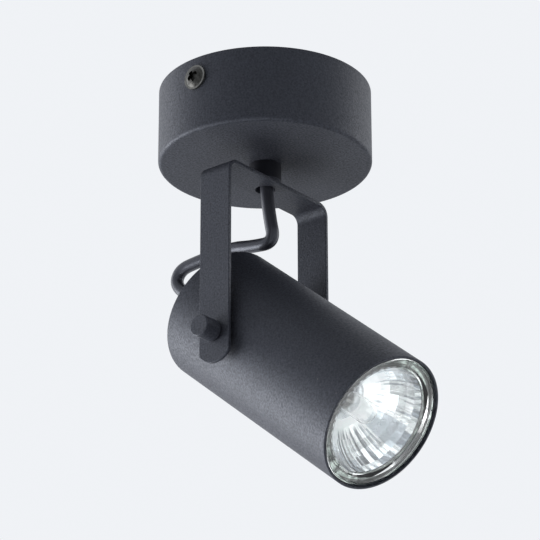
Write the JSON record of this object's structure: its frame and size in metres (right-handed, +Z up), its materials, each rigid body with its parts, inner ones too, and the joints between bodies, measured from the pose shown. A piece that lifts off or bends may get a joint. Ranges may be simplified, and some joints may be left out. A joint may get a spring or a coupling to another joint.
{
  "type": "ceiling spotlight",
  "caption": "Black ceiling spotlight: a round canopy, a swivelling U-shaped yoke and a tilting cylindrical can that holds a twist-lock reflector lamp, fed by a short looped cable.",
  "frame": {"origin": "centre of the canopy's rim, on the ceiling, between the bracket's two slots", "axes": "+Z up into the ceiling, X along the yoke from arm to arm, the can points to -Y and down"},
  "size_m": [0.0878, 0.1169, 0.1693],
  "materials": {
    "powder_coat": "fine sandy satin black powder coat",
    "zinc_steel": "bright zinc plate",
    "dark_screw": "dark zinc plate",
    "black_nylon": "matt moulded",
    "natural_nylon": "matt moulded",
    "cable_jacket": "smooth semi-gloss",
    "brown_core": "smooth",
    "blue_core": "smooth",
    "earth_core": "smooth, green and yellow",
    "brass": "plain",
    "ceramic": "unglazed white ceramic",
    "lamp_glass": "clear, polished",
    "reflector_coat": "fluted, aluminised pressed glass",
    "quartz": "clear",
    "tungsten": "plain",
    "nickel": "nickel plate"
  },
  "bodies": {
    "canopy": {"canopy_cup": "powder_coat", "ceiling_bracket": "zinc_steel", "canopy_screws": "dark_screw", "terminal_block": "natural_nylon", "terminal_sleeves": "brass", "terminal_screws": "zinc_steel", "stop_pin": "zinc_steel", "live_core": "brown_core", "neutral_core": "blue_core", "earth_core": "earth_core"},
    "yoke": {"yoke_strap": "powder_coat", "swivel_stem": "powder_coat", "swivel_collar": "black_nylon", "stop_washer": "zinc_steel", "spring_washer": "zinc_steel", "swivel_nut": "zinc_steel", "lamp_cable": "cable_jacket"},
    "head": {"can_tube": "powder_coat", "rear_cap": "powder_coat", "cable_gland": "black_nylon", "gland_nut": "black_nylon", "cord_clamp": "black_nylon", "holder_strap": "zinc_steel", "left_pivot_bush": "zinc_steel", "right_pivot_bush": "zinc_steel", "left_tilt_washer": "black_nylon", "right_tilt_washer": "black_nylon", "lampholder": "ceramic", "holder_contacts": "brass", "holder_screws": "zinc_steel", "live_lead": "brown_core", "neutral_lead": "blue_core", "earth_lead": "earth_core"},
    "left_knob": {"left_thumb_screw": "powder_coat", "left_knob_washer": "black_nylon"},
    "right_knob": {"right_thumb_screw": "powder_coat", "right_knob_washer": "black_nylon"},
    "lamp": {"lamp_reflector": "reflector_coat", "lamp_front_glass": "lamp_glass", "lamp_capsule": "quartz", "lamp_filament": "tungsten", "lamp_base": "ceramic", "lamp_pins": "nickel"}
  },
  "joints": [
    {"name": "yoke_swivel", "type": "hinge", "parent": "canopy", "child": "yoke", "pos_m": [0, 0, 0], "axis": [0, 0, 1], "range_deg": [-165, 165]},
    {"name": "head_tilt", "type": "hinge", "parent": "yoke", "child": "head", "pos_m": [0, 0, -0.1087], "axis": [1, 0, 0], "range_deg": [-39.2, 50.8], "deforming": ["lamp_cable"]},
    {"name": "left_knob_turn", "type": "hinge", "parent": "head", "child": "left_knob", "pos_m": [-0.034, 0, -0.1087], "axis": [-1, 0, 0], "range_deg": [0, 360]},
    {"name": "right_knob_turn", "type": "hinge", "parent": "head", "child": "right_knob", "pos_m": [0.034, 0, -0.1087], "axis": [1, 0, 0], "range_deg": [0, 360]},
    {"name": "lamp_twist", "type": "hinge", "parent": "head", "child": "lamp", "pos_m": [0, -0.00202, -0.10622], "axis": [0, -0.7749, -0.632], "range_deg": [0, 30]}
  ]
}
